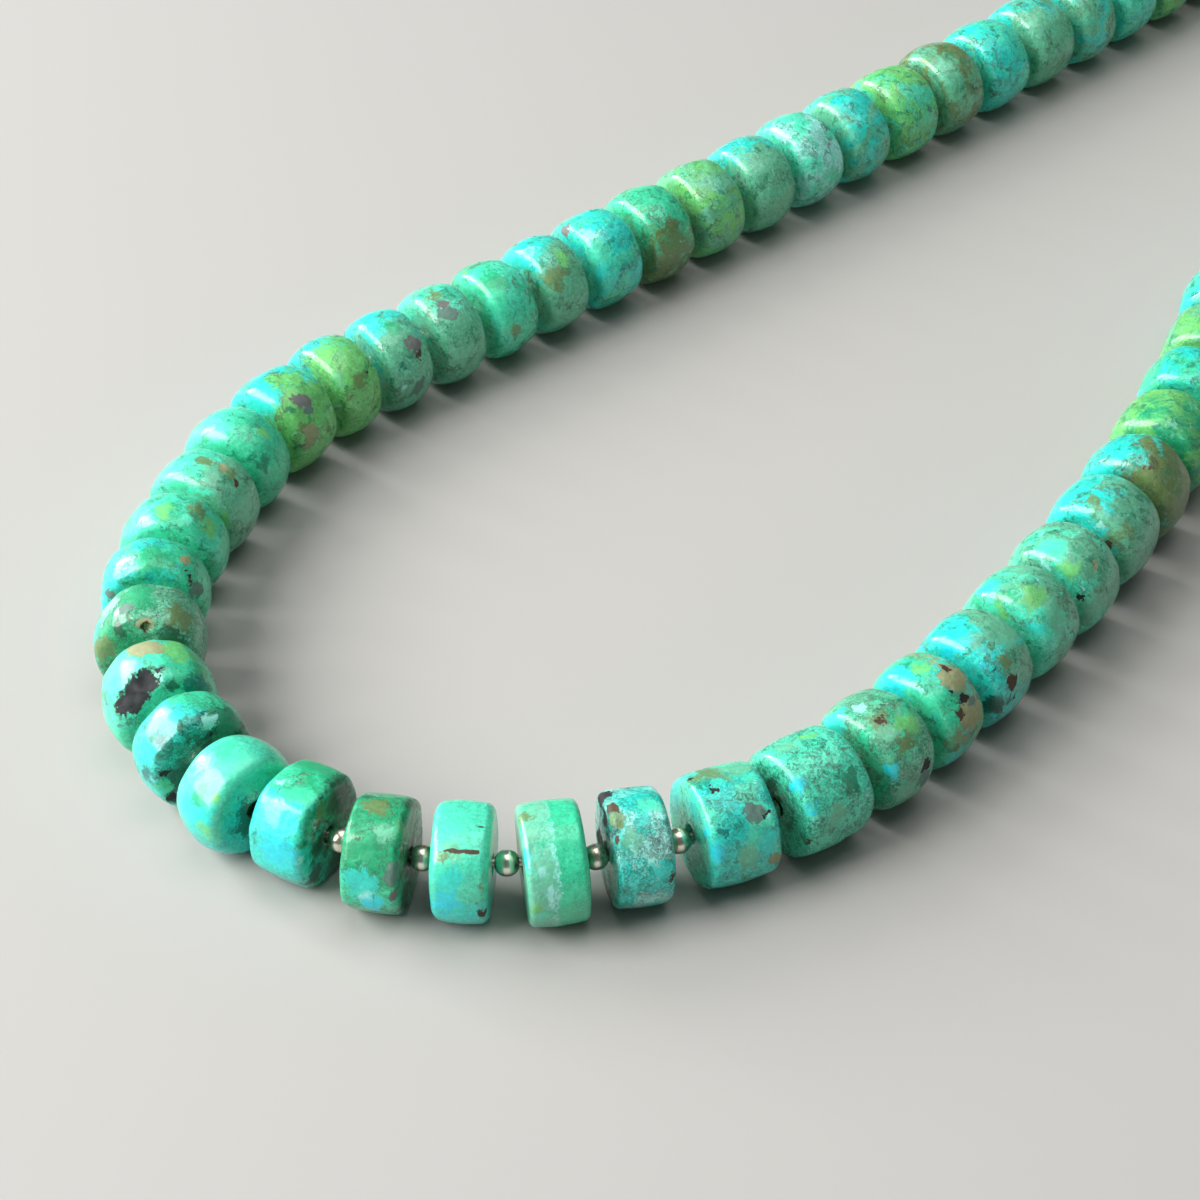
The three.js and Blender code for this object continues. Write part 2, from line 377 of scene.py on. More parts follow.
def ground_plan(dice, angle, square, flats):
    """How far out the barrel reaches at each angle, as a share of its radius."""
    plan = (np.abs(np.cos(angle)) ** square + np.abs(np.sin(angle)) ** square) ** (-1 / square)
    plan /= max(1.0, plan.max() / 1.03)
    for face in range(FACES):
        facing = 2 * math.pi * (face + dice.uniform(-0.35, 0.35)) / FACES
        depth = 1 - flats * dice.uniform(0.2, 1)
        turned = np.cos(angle - facing)
        cut = np.where(turned > 0.3, depth / np.maximum(turned, 0.3), 9.0)
        plan = -np.log(np.exp(-60 * plan) + np.exp(-60 * cut)) / 60
    return plan


def skin(rows, around, closed=True, first=0):
    """Four-sided faces between rings of points, from the first point on."""
    faces = []
    for row in range(rows if closed else rows - 1):
        here = first + row * around
        there = first + (row + 1) % rows * around
        for k in range(around):
            step = (k + 1) % around
            faces.append((here + k, there + k, there + step, here + step))
    return faces


def smooth_mesh(name, points, faces):
    mesh = bpy.data.meshes.new(name)
    mesh.from_pydata(points, [], faces)
    mesh.update()
    mesh.shade_smooth()
    return mesh


def put_in_scene(name, data):
    piece = bpy.data.objects.new(name, data)
    bpy.context.scene.collection.objects.link(piece)
    return piece


def cut_wheel(name, place, seed, grid, rim=1.0, crown=0.25, square=2.0, flats=0.03, spots=()):
    """One wheel as a closed mesh in its own frame, in metres, with the polish and dents of real stone."""
    dice = np.random.default_rng(seed)
    steps, turns = grid
    outline = wheel_outline(place["across"], place["thick"], rim, crown, steps)
    radius = place["across"] / 2
    angle = np.linspace(0, 2 * math.pi, turns, endpoint=False)
    plan = ground_plan(dice, angle, square, flats)
    r, y = outline[:, 0][:, None], outline[:, 1][:, None]
    share = np.clip((r - BORE / 2 - MOUTH) / (radius - BORE / 2 - MOUTH), 0, 1)
    reach = r * (1 + (plan[None, :] - 1) * share)
    slant = 1 + dice.uniform(-0.035, 0.035) * np.cos(angle - dice.uniform(0, 6.3))[None, :] * share
    points = np.stack([reach * np.cos(angle), y * slant + 0 * reach, reach * np.sin(angle)], -1)

    # Which way is out, at each point.
    along = np.gradient(points, axis=0)
    around = np.roll(points, -1, axis=1) - np.roll(points, 1, axis=1)
    normal = np.cross(along, around)
    normal /= np.linalg.norm(normal, axis=-1, keepdims=True) + 1e-12
    normal *= math.copysign(1, np.sum(normal * points, axis=-1).mean())

    # Lumps, pricks and the dents of the spots, all fading towards the bore.
    flat = points.reshape(-1, 3)
    push = np.zeros(len(flat))
    for i, point in enumerate(flat):
        soft = Vector(point * 0.28) + Vector((seed * 3.7, 0, 0))
        small = Vector(point * 0.95) + Vector((0, seed * 5.1, 0))
        push[i] = LUMPS * noise.noise(soft) + PRICKS * noise.noise(small)
    for kind, x, y_spot, z, *size in spots:
        if kind not in DENTS:
            continue
        away = np.linalg.norm(flat - np.array((x, y_spot, z)), axis=1) / size[0]
        hollow = np.clip(1.15 - away, 0, 0.6) / 0.6
        push -= DENTS[kind] * hollow * hollow * (3 - 2 * hollow)
    push *= share.repeat(turns, axis=1).reshape(-1) * 0.9 + 0.1
    moved = (points + normal * push.reshape(points.shape[:2])[..., None]).reshape(-1, 3)
    return smooth_mesh(name, [tuple(point * MM) for point in moved], skin(len(outline), turns))


def set_down(piece):
    """Moves a wheel down or up until its lowest point rests on the table."""
    bpy.context.view_layer.update()
    lowest = min((piece.matrix_world @ vertex.co).z for vertex in piece.data.vertices)
    piece.matrix_world = Matrix.Translation((0, 0, -lowest)) @ piece.matrix_world


# The forty loose wheels of the front, by their place from the left. Each has its two colours and
# the way that they lean, its cut (rim, crown, squareness, flats), its play on the wire (turned,
# tipped, aside), its veins, net and flecks (busy), and its bands and spots in millimetres.
WHEELS = {
    1: {"of": ("sage", "aqua")},
    2: {"of": ("aqua", "sage"), "slope": (-0.05, 0, 0)},
    3: {"of": ("mint", "aqua")},
    4: {"of": ("olive", "sage")},
    5: {"of": ("lime", "mint")},
    6: {"of": ("aqua", "sage")},
    7: {"of": ("mint", "ice")},
    8: {"of": ("aqua", "sage"), "slope": (-0.05, 0, 0)},
    9: {"of": ("sage", "lime")},
    10: {"of": ("spring", "olive"), "slope": (-0.03, 0, -0.03)},
    11: {"of": ("aqua", "mint"), "spots": [
        ("ice", -1.6, 1.8, 4.5, 1.0), ("mauve", 1.5, 2.7, 3.7, 0.7), ("aqua", -3.6, 2.7, 1.1, 1.0),
        ("olive", -0.2, 2.0, 4.7, 0.4),
    ]},
    12: {
        "of": ("aqua", "sage"), "slope": (-0.05, -0.03, 0),
        "spots": [
            ("ice", 0.3, 1.9, 4.7, 1.0), ("aqua", 0.3, 2.5, 3.8, 0.9), ("olive", -3.6, 1.7, 3.0, 1.4),
            ("lime", -2.5, -0.4, 4.0, 0.9), ("sage", -3.7, 2.5, -0.3, 1.0),
        ],
    },
    13: {"of": ("spring", "mint"), "spots": [
        ("emerald", -1.6, 1.5, 4.4, 1.4), ("lime", 1.9, 2.0, 4.3, 0.7),
        ("spring", -3.1, 1.9, 3.5, 1.2), ("olive", -4.7, 1.0, 0.2, 0.8), ("sage", -4.7, 2.4, 0.6, 0.8),
    ]},
    14: {
        "of": ("mint", "sage"), "slope": (-0.04, 0, -0.02),
        "spots": [
            ("olive", 0.0, 0.6, 4.7, 0.7), ("mauve", -1.3, 0.5, 4.5, 0.5),
            ("jade", -3.9, 1.6, 2.7, 0.5), ("grey", -2.5, 0.7, 4.0, 0.8),
            ("sage", -4.6, 1.1, 1.0, 1.0),
        ],
    },
    15: {
        "of": ("aqua", "sage"), "slope": (-0.04, 0, 0),
        "spots": [
            ("aqua", -0.5, 1.8, 4.7, 1.4), ("emerald", -1.5, 0.2, 4.4, 0.7),
            ("mauve", -3.4, -0.7, 3.2, 0.7), ("brown", -4.0, -0.8, 2.4, 0.4),
            ("teal", -4.3, 1.5, 1.8, 0.6), ("ice", -4.7, 1.9, -0.2, 0.5),
            ("grey", -4.6, -0.1, -0.9, 0.9),
        ],
    },
    16: {
        "of": ("aqua", "lime"), "slope": (-0.06, 0, 0),
        "spots": [
            ("lime", -0.3, 1.1, 4.7, 1.4), ("emerald", 3.7, 2.5, 2.2, 0.5),
            ("olive", -3.9, 0.3, 2.6, 0.9), ("brown", -3.6, -1.0, 3.1, 0.4),
            ("olive", -4.5, 2.2, 1.2, 1.0), ("sage", -3.3, 2.3, 3.3, 0.9),
        ],
    },
    17: {
        "of": ("aqua", "lime"), "slope": (-0.05, 0, 0),
        "spots": [
            ("aqua", -0.2, 3.0, 4.2, 1.5), ("mauve", -3.0, 0.6, 3.6, 0.8),
            ("grey", -3.7, 0.6, 2.9, 0.5), ("olive", -4.4, 2.5, 1.8, 0.9),
            ("tan", -4.6, 1.6, 0.9, 0.9), ("lime", -4.5, -0.3, 1.4, 0.7),
        ],
    },
    18: {
        "of": ("mint", "spring"), "slope": (-0.04, 0, 0), "cut": (1.4, 0.4, 2.0, 0.0), "veins": 0,
        "spots": [
            ("mint", 1.0, 2.7, 4.3, 1.8), ("jade", -2.9, 1.5, 3.8, 0.6),
            ("lime", -2.8, -0.3, 3.8, 0.6), ("jade", -4.3, 2.1, 1.9, 1.0),
            ("emerald", 1.8, 2.7, 3.3, 0.6),
        ],
    },
    19: {
        "of": ("mint", "sage"), "slope": (-0.05, 0, 0), "play": (-7, 0, -0.3),
        "spots": [
            ("spring", 0.9, 2.7, 3.6, 1.3), ("olive", -0.3, -0.2, 4.7, 0.8),
            ("olive", -2.8, -0.2, 3.8, 0.8), ("brown", -3.3, 0.0, 3.3, 0.35),
            ("tan", -1.9, -0.3, 4.3, 0.6), ("mauve", -0.5, 2.7, 2.1, 0.4),
            ("sage", -4.4, 0.9, 1.5, 1.2), ("lime", -3.9, 2.7, 1.1, 0.7),
        ],
    },
    20: {
        "of": ("mint", "spring"), "slope": (-0.03, 0, 0), "play": (2, 0, 0.1),
        "spots": [
            ("mint", 2.7, 1.8, 3.9, 1.3), ("lime", 0.3, 0.9, 4.7, 0.8),
            ("olive", -2.2, -0.3, 4.2, 0.9), ("lime", -3.6, 0.6, 3.1, 0.9),
            ("spring", 0.9, 2.5, 3.0, 1.0), ("mint", -1.8, 1.3, 4.3, 0.6),
            ("mint", -4.3, 1.4, 1.9, 0.8),
        ],
    },
    21: {
        "of": ("spring", "aqua"), "slope": (0.04, 0, 0), "play": (4, 0, 0.3),
        "spots": [
            ("emerald", -0.5, 1.1, 4.7, 1.7), ("aqua", 3.5, 1.3, 3.1, 1.3),
            ("grey", 3.7, 2.5, 1.7, 0.6), ("tan", -2.8, 0.7, 3.7, 0.6), ("brown", -3.6, 2.5, 3.0, 0.6),
            ("char", -3.3, 1.8, 3.4, 0.3), ("grey", -4.1, 2.5, 2.1, 0.9), ("mint", 1.2, 0.1, 4.5, 0.5),
        ],
    },
    # Wheel 22: its dark moss green spots on the end face are painted shade.
    22: {
        "of": ("sage", "emerald"), "slope": (0.06, 0, 0), "play": (-6, 0, 0.2), "net": 0.7,
        "spots": [
            ("ice", 3.5, -0.6, 3.2, 1.3), ("aqua", 4.4, 0.8, 1.4, 1.0),
            ("emerald", 0.6, -0.4, 4.7, 1.4), ("olive", 3.8, 2.7, 1.2, 1.3),
            ("olive", -2.9, 1.4, 3.8, 1.5), ("moss", -2.2, 2.7, 2.4, 1.2),
            ("moss", 2.2, 2.6, 3.2, 0.7), ("grey", 1.8, 1.2, 4.2, 0.6), ("tan", -0.2, 2.5, 3.9, 0.66),
            ("hole", -0.2, 2.7, 3.6, 0.42),
        ],
    },
    # Wheel 23: its dark moss green spot on the end face is painted shade.
    23: {
        "of": ("spring", "mint"), "slope": (0.06, 0, 0), "cut": (1.1, 0.35, 2.0, 0.03),
        "play": (4.5, 0, 0.2), "busy": 0.6,
        "spots": [
            ("mint", 3.3, -0.6, 3.6, 1.8), ("tan", 0.9, -1.6, 4.6, 1.1), ("tan", -0.4, -0.9, 4.7, 0.9),
            ("lime", -2.2, -0.6, 4.1, 1.6), ("emerald", -3.4, 1.6, 3.3, 1.2),
            ("teal", -2.5, 2.9, 2.6, 1.2), ("spring", 4.1, 2.9, -1.6, 1.5),
            ("moss", -0.6, 2.9, 3.4, 0.7), ("pit", 1.2, 2.2, 4.2, 1.15), ("pit", 2.2, 2.5, 3.6, 1.3),
            ("pit", 3.2, 2.6, 2.5, 1.2),
        ],
    },
    # Wheel 24: the band of dark moss green is painted shade on the end face that turns away from the light;
    # the deep green spots on that face are dark stone and painted shade together.
    24: {
        "of": ("aqua", "spring"), "slope": (-0.08, 0, 0), "cut": (0.8, 0.25, 2.0, 0.03),
        "play": (0, 0, -0.2), "net": 0.5, "bands": [("moss", (-0.12, 1, 0.1), 1.6, 0.25)],
        "spots": [
            ("mint", 2.6, -0.4, 3.9, 1.2), ("teal", 3.3, 1.2, 3.3, 0.8), ("aqua", 4.4, 0.6, 1.8, 1.3),
            ("deep", 1.9, 2.2, -0.6, 1.6), ("deep", -0.8, 2.2, 1.2, 1.3),
            ("jade", -2.7, 2.2, 3.0, 1.5), ("char", 3.4, 2.2, 0.6, 0.5), ("ice", -0.8, 2.0, 3.9, 0.7),
            ("char", -0.9, 2.2, 2.7, 0.3), ("char", 3.0, 2.2, -2.1, 0.6),
            ("spring", 4.0, 2.2, -1.0, 0.9), ("teal", 4.6, 1.2, 0.2, 0.8),
        ],
    },
    # Wheel 25: the large dark moss green spot on the end face is painted shade, darkening a face that turns
    # away from the light.
    25: {
        "of": ("mint", "aqua"), "slope": (0, 0.02, -0.05), "cut": (0.95, 0.3, 2.0, 0.02),
        "play": (-5, 0, 0.2), "veins": 0, "busy": 0.25,
        "spots": [
            ("aqua", 4.5, 0.2, 1.0, 1.9), ("spring", 3.1, -1.0, 3.5, 1.2),
            ("lime", 3.3, 1.9, 2.6, 0.3, 0.3, 2.2), ("spring", 0.4, -0.6, 4.7, 1.1),
            ("jade", 2.6, -0.6, 3.9, 0.25, 0.9, 0.3), ("mint", 0.2, 2.1, 4.4, 1.4),
            ("moss", 0.4, 2.5, -0.4, 2.0), ("lime", 4.7, 1.9, -0.2, 0.7),
            ("emerald", 3.9, 0.6, 2.6, 0.8),
        ],
    },
    # Wheel 26: the band of dark moss green is painted shade on the end face that turns away from the light;
    # the deep green spots on that face are dark stone and painted shade together.
    26: {
        "of": ("aqua", "spring"), "slope": (-0.06, 0.03, 0.03), "cut": (0.75, 0.12, 2.7, 0.05),
        "play": (0, 0, -0.5), "busy": 0.6,
        "bands": [("emerald", (-0.4, 0.5, 0.6), 2.3, 0.4), ("moss", (-0.15, 1, 0), 1.9, 0.25)],
        "spots": [
            ("cyan", 3.7, 0.1, 2.7, 1.5), ("cyan", 4.6, 0.6, 0.6, 1.6),
            ("emerald", -2.6, -0.6, 3.9, 1.4), ("spring", 1.4, 1.0, 4.5, 1.2),
            ("deep", -1.6, 2.2, 2.7, 1.4), ("deep", 1.6, 2.3, 0.3, 0.9), ("olive", 1.0, 2.3, 3.0, 0.8),
            ("deep", -1.3, 2.2, -3.4, 1.7), ("ice", 0.9, -1.4, 4.6, 0.6),
            ("ice", 2.3, -0.2, 4.1, 0.35), ("ice", 3.9, 2.1, 0.2, 0.4), ("deep", 2.5, 2.3, -2.2, 1.0),
        ],
    },
    # Wheel 27: the band of dark moss green is painted shade on the end face; the deep green spots on that
    # face are dark stone and painted shade together; the small moss spot on the barrel is dark stone.
    27: {
        "of": ("spring", "emerald"), "slope": (0, 0, 0.05), "cut": (0.6, 0.12, 2.5, 0.04),
        "play": (6, 0, 0.2), "net": 0.6, "bands": [("moss", (-0.1, 1, 0), 1.9, 0.2)],
        "spots": [
            ("olive", -0.4, -0.4, 4.7, 1.2), ("sage", 2.0, 0.9, 4.2, 0.8),
            ("moss", -1.9, -1.0, 4.3, 0.7), ("emerald", 3.5, -0.4, 3.1, 1.2),
            ("aqua", 4.6, -0.6, 0.6, 1.4), ("ice", 4.7, -0.2, -0.4, 0.7),
            ("cyan", 4.5, 0.6, -1.4, 1.2), ("mauve", 4.5, 2.1, 0.0, 0.5), ("grey", 3.9, 2.0, 1.6, 0.9),
            ("olive", 1.4, 2.2, 3.6, 0.9), ("deep", 0.3, 2.2, 0.0, 1.6), ("deep", 2.3, 2.2, -2.6, 1.2),
        ],
    },
    28: {
        "of": ("mint", "aqua"), "slope": (0, 0, -0.1), "cut": (0.8, 0.12, 2.6, 0.03),
        "play": (2, 0, -0.15), "veins": 0, "busy": 0.2,
        "spots": [
            ("aqua", 4.3, -0.6, 1.6, 1.5), ("cyan", 4.7, -1.0, -0.3, 1.2),
            ("sage", 3.0, -0.6, 3.7, 0.9), ("olive", 3.2, -1.2, 3.5, 0.5, 0.8, 0.5),
            ("brown", 2.9, 1.3, 3.75, 0.2, 2.9, 0.15), ("brown", 0.6, 1.8, 4.68, 0.16, 1.2, 0.3),
            ("brown", 0.1, -1.8, 4.7, 0.5, 0.25, 0.3), ("brown", 4.5, 2.0, -1.3, 0.5),
            ("olive", 4.6, 1.6, -0.2, 0.3), ("olive", 4.3, 1.9, 2.0, 0.2, 0.3, 1.6),
        ],
    },
    29: {
        "of": ("spring", "spring"), "cut": (0.6, 0.1, 2.0, 0.02), "play": (2, 2.5, 0.3), "veins": 0,
        "busy": 0.0, "bands": [("ice", (0, -1, 0.04), 0.1, 0.05), ("sage", (0, -1, 0.04), 0.4, 0.08)],
        "spots": [
            ("ice", 3.9, -1.1, 3.1, 0.4, 0.4, 1.6), ("ice", 4.9, -0.7, 1.0, 0.4, 0.4, 1.2),
            ("lime", 5.0, -1.8, 0.0, 0.7), ("olive", -0.6, -1.8, 4.9, 0.8),
            ("mint", 4.7, -1.6, -1.2, 0.8), ("aqua", 3.0, -2.2, 3.7, 0.8),
        ],
    },
    30: {
        "of": ("aqua", "ice"), "cut": (0.55, 0.1, 2.0, 0.03), "play": (-4, 0, -0.3), "net": 0.7,
        "busy": 0.7, "bands": [("char", (0, -1, 0.22), 2.7, 0.2)],
        "spots": [
            ("olive", 1.4, -1.8, 4.5, 0.6), ("sage", 3.0, -0.9, 3.7, 1.0),
            ("char", -2.2, -2.2, 3.8, 0.9), ("char", -0.4, -2.2, 3.0, 0.8),
            ("brown", 0.2, -1.9, 4.7, 0.6), ("char", -2.2, -2.2, -0.9, 1.2),
            ("brown", 2.7, -2.0, 3.9, 0.3, 0.2, 0.8), ("brown", 4.5, 1.9, 0.6, 0.3),
            ("mint", 0.6, 0.9, 4.7, 0.9), ("deep", 0.3, -2.2, -3.9, 1.5),
        ],
    },
    31: {
        "of": ("mint", "aqua"), "cut": (0.7, 0.12, 2.0, 0.03), "play": (-4, 0, -0.2), "net": 0.5,
        "spots": [
            ("olive", -1.5, -0.9, 4.4, 1.3), ("sage", -1.2, 1.3, 4.5, 1.2),
            ("char", 3.0, 1.2, 3.6, 0.3), ("char", -1.5, -2.3, 4.4, 0.28),
            ("char", 0.5, -1.4, 4.7, 0.3), ("char", 2.9, 0.2, 3.7, 0.22), ("char", 3.3, 1.9, 3.3, 0.3),
            ("grey", 3.1, 0.8, 3.5, 0.8), ("teal", 3.6, -1.9, 3.0, 0.5), ("cyan", 4.0, -2.8, 1.4, 0.9),
            ("cyan", 2.8, -2.9, 2.6, 0.7), ("aqua", 4.4, 1.7, 1.1, 0.9), ("sage", 4.6, -0.4, 0.6, 1.0),
            ("mint", 4.2, 0.6, 2.0, 0.9), ("tan", 4.5, 2.2, -0.6, 0.6),
        ],
    },
    32: {
        "of": ("mint", "mint"), "cut": (0.8, 0.12, 2.0, 0.03), "net": 0.7,
        "spots": [
            ("sage", -1.5, -0.9, 4.5, 1.0), ("lime", -1.4, 0.8, 4.5, 0.7),
            ("cyan", 2.3, -3.1, 4.1, 1.0), ("cyan", 4.2, -3.2, 2.2, 0.7),
            ("deep", -1.0, -3.3, 1.4, 1.4), ("brown", 3.9, 0.7, -2.7, 0.6),
            ("brown", 4.3, -3.3, -0.7, 0.4), ("sage", 4.5, -0.8, 1.2, 1.0),
            ("jade", 3.4, 1.4, 3.2, 0.9),
        ],
    },
    33: {
        "of": ("sage", "spring"), "net": 0.7,
        "spots": [
            ("aqua", -2.3, -2.7, 3.3, 1.2), ("ice", -1.1, -1.2, 4.6, 0.7),
            ("olive", 1.4, -1.3, 4.5, 1.2), ("sage", 2.4, -1.4, 4.1, 1.0),
            ("lime", 2.5, 0.7, 4.0, 1.2), ("olive", 3.8, -0.7, 2.9, 1.1),
            ("brown", 1.3, -1.0, 4.6, 0.5), ("char", 2.2, -2.7, 4.0, 0.4),
            ("ice", 2.2, -2.4, 4.2, 0.2), ("char", 4.1, 1.2, 2.4, 0.35), ("char", 4.7, 0.8, 0.5, 0.65),
            ("grey", 4.7, 0.5, -0.7, 0.8), ("cyan", 3.9, -2.7, 1.4, 0.8),
            ("spring", 2.2, -2.7, 1.5, 0.8), ("sage", 4.7, -1.5, -0.9, 1.0),
        ],
    },
    34: {
        "of": ("spring", "aqua"), "bands": [("tan", (0.15, 1, 0), 0.4, 0.5)],
        "spots": [
            ("cyan", -1.8, -2.5, 3.4, 1.6), ("lime", -0.3, -0.6, 4.7, 0.9),
            ("spring", 2.0, -2.5, 2.9, 1.0), ("tan", 2.0, 0.6, 4.3, 1.2), ("tan", 4.2, 0.3, 2.0, 1.3),
            ("olive", 4.7, -1.6, 0.2, 1.3), ("grey", 3.9, 0.8, 2.7, 0.5),
            ("brown", 4.0, -0.9, 2.4, 0.4), ("brown", 1.3, 0.9, 4.5, 0.4),
            ("char", 2.6, -0.5, 3.9, 0.25), ("char", 3.5, 0.0, 3.1, 0.5),
        ],
    },
    35: {
        "of": ("aqua", "sage"), "slope": (0, 0.05, 0),
        "spots": [
            ("cyan", -0.8, -3.0, 4.3, 1.5), ("cyan", 2.6, -2.7, 3.9, 0.7),
            ("sage", 1.9, 1.1, 4.3, 1.6), ("olive", 3.4, -1.0, 3.3, 0.7),
            ("deep", 4.2, -3.0, -0.4, 1.2), ("teal", 4.7, -1.8, 0.3, 0.6),
            ("teal", -0.6, -3.0, 4.6, 0.22), ("teal", 1.5, -3.0, 4.1, 0.3),
            ("deep", 3.4, -2.3, 3.2, 0.5), ("brown", 4.4, -1.1, 1.6, 0.55),
            ("char", 4.7, -0.6, 0.0, 0.35),
        ],
    },
    36: {
        "of": ("mint", "sage"), "slope": (0, 0.05, 0),
        "spots": [
            ("aqua", -2.3, -2.1, 4.1, 1.3), ("lime", 1.6, -1.2, 4.4, 1.3),
            ("sage", 3.5, -0.9, 3.2, 1.6), ("emerald", 0.1, -2.7, 4.7, 0.9),
            ("lime", -0.2, -3.0, 3.0, 0.8), ("aqua", 2.9, -3.0, 2.7, 0.8),
            ("emerald", -2.9, -3.0, 2.5, 0.7),
        ],
    },
    37: {"of": ("sage", "mint"), "spots": [
        ("mint", -0.4, -1.6, 4.7, 1.3), ("lime", 1.7, -3.0, 3.9, 1.0), ("sage", 4.0, -3.0, -0.1, 1.6),
        ("tan", 3.5, -0.7, 3.2, 0.4), ("deep", -1.0, -3.0, 2.5, 0.4), ("deep", -2.7, -3.0, 1.8, 0.3),
        ("ice", -0.5, -3.0, 3.4, 0.5), ("ice", 3.2, -3.0, 2.4, 0.3), ("char", 3.1, -3.0, 1.5, 0.35),
    ]},
    38: {
        "of": ("aqua", "sage"), "slope": (0.05, 0, 0),
        "spots": [
            ("aqua", -4.5, -1.0, 1.2, 1.8), ("olive", -0.1, -2.2, 4.7, 1.0),
            ("olive", 3.3, -3.2, 3.3, 1.5), ("emerald", -2.7, -3.3, 1.7, 0.8),
            ("teal", -2.1, -3.3, 0.5, 0.3), ("ice", 1.1, -3.3, 3.4, 0.5),
            ("cyan", 1.7, -3.3, 2.8, 0.4), ("brown", 2.2, -3.3, 1.3, 0.5),
        ],
    },
    39: {
        "of": ("aqua", "olive"), "slope": (0.05, 0, 0),
        "spots": [
            ("aqua", -1.9, -2.7, 2.2, 1.3), ("olive", 1.7, -2.7, 3.5, 1.2),
            ("emerald", -3.8, -2.7, 1.4, 0.7), ("brown", 1.5, -2.0, 4.5, 0.5),
        ],
    },
    40: {"of": ("lime", "emerald"), "spots": [
        ("emerald", -4.4, -3.3, 0.1, 0.8), ("lime", -2.5, -3.3, 0.2, 0.8),
    ]},
}
NEAR_WHEELS = range(22, 37)
PLAIN_CUT = (1.1, 0.25, 2.0, 0.03)
NO_PLAY = (0.0, 0.0, 0.0)

for number, look in WHEELS.items():
    place = places[len(LEFT_BACK) + number - 1]
    grid = NEAR_GRID if number in NEAR_WHEELS else FAR_GRID
    spots = look.get("spots", ())
    name = f"wheel_{number:02d}"
    mesh = cut_wheel(name, place, number, grid, *look.get("cut", PLAIN_CUT), spots)
    wheel = put_in_scene(name, mesh)
    wheel.matrix_world = stand(place, *look.get("play", NO_PLAY))
    set_down(wheel)
    kinds = {"slope": (0, 0, 0), "veins": 0.6, "net": 0.3, "busy": 1.0, "bands": ()}
    kinds.update((key, look[key]) for key in kinds if key in look)
    mesh.materials.append(turquoise(f"turquoise_{number:02d}", number, *look["of"], spots=spots, **kinds))
    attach(wheel, "root")
    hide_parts(f"stone_{number:02d}")

# The wheels at the back of the neck, on either side of the clasp, of the same stone.
BACK_TONES = (("aqua", "mint"), ("mint", "sage"), ("lime", "sage"), ("spring", "aqua"), ("sage", "olive"))
BACK_NET = 0.4
back_stone = []
for i, (main, other) in enumerate(BACK_TONES):
    back_stone.append(turquoise(f"back_turquoise_{i + 1}", 50 + i, main, other, net=BACK_NET))
BACK_ROWS = (
    ("back_wheels_left", "back_string_left", range(0, len(LEFT_BACK))),
    ("back_wheels_right", "back_string_right", range(len(LEFT_BACK) + len(FRONT), len(places))),
)
for name, solid, row in BACK_ROWS:
    parts = []
    for i in row:
        mesh = cut_wheel(f"{name}_{i}", places[i], 100 + i, BACK_GRID)
        part = put_in_scene(f"{name}_{i}", mesh)
        part.matrix_world = stand(places[i])
        set_down(part)
        mesh.materials.append(back_stone[(i * 3 + i // 4) % len(back_stone)])
        parts.append(part)
    with bpy.context.temp_override(active_object=parts[0], selected_editable_objects=parts):
        bpy.ops.object.join()
    joined = parts[0]
    joined.name = name
    joined.data.name = name
    joined.data.transform(joined.matrix_world)
    joined.matrix_world = Matrix.Identity(4)
    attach(joined, "root")
    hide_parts(solid)

# ------------------------------------------------------------------------------------------
# The spacer beads. Round balls of pale gold plated brass, rolled smooth and drilled. Each one
# sits in the mouths of the two bores beside it, and keeps the wheels' faces from knocking.
BEAD = 2.1
BEAD_HOLE = 0.45  # radius
BEAD_RINGS = 20
BEAD_SIDES = 28
WARM = (0.86, 0.80, 0.70)  # what the worn plate keeps of its red, green and blue


def plated_metal(name, colour, polish):
    """Plated brass, brushed faintly by wear."""
    material, tree, shader = bare_material(name)
    mm = in_millimetres(tree)
    cloud = noise_at(tree, mm, 0.7, 4, 0.6).outputs["Fac"]
    warm = [channel * kept for channel, kept in zip(colour, WARM)]
    plate = blend(tree, ramp(tree, cloud, 0.42, 0.68), paint(colour), paint(warm))
    tree.links.new(plate, shader.inputs["Base Color"])
    scratch = noise_at(tree, mm, 9.0, 5, 0.7, 1.5).outputs["Fac"]
    tree.links.new(maths(tree, "MULTIPLY_ADD", scratch, 0.16, polish), shader.inputs["Roughness"])
    bump = node(tree, "Bump", {"Height": scratch, "Strength": 0.2, "Distance": 0.00003})
    tree.links.new(bump.outputs[0], shader.inputs["Normal"])
    shader.inputs["Metallic"].default_value = 1.0
    return material


def turned_mesh(name, outlines, frames, sides):
    """Lathe-turned forms in one mesh: a closed outline of (radius, along) about each frame's Y axis."""
    points, faces = [], []
    for outline, where in zip(outlines, frames):
        faces += skin(len(outline), sides, first=len(points))
        for r, y in outline:
            for k in range(sides):
                angle = 2 * math.pi * k / sides
                spot = Vector((r * math.cos(angle) * MM, y * MM, r * math.sin(angle) * MM))
                points.append(tuple(where @ spot))
    return smooth_mesh(name, points, faces)


middles = []
for before, after in zip(places, places[1:]):
    ends = []
    for place, sign in ((before, 1), (after, -1)):
        way = Vector((math.cos(place["heading"]), math.sin(place["heading"]), 0))
        middle = Vector((place["x"], place["y"], place["across"] / 2))
        ends.append(middle + way * sign * place["thick"] / 2)
    run = ends[1] - ends[0]
    spot = Matrix.Translation((ends[0] + ends[1]) / 2 * MM)
    middles.append(spot @ Matrix.Rotation(math.atan2(run.y, run.x) - math.pi / 2, 4, "Z"))
start = math.asin(BEAD_HOLE / (BEAD / 2))
ball = []
for angle in np.linspace(start, math.pi - start, BEAD_RINGS):
    ball.append((BEAD / 2 * math.sin(angle), -BEAD / 2 * math.cos(angle)))
bead_mesh = turned_mesh("spacer_beads", [ball] * len(middles), middles, BEAD_SIDES)
beads = put_in_scene("spacer_beads", bead_mesh)
beads.data.materials.append(plated_metal("pale_gold_plate", (240, 236, 222), 0.16))
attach(beads, "root")
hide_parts("front_string")

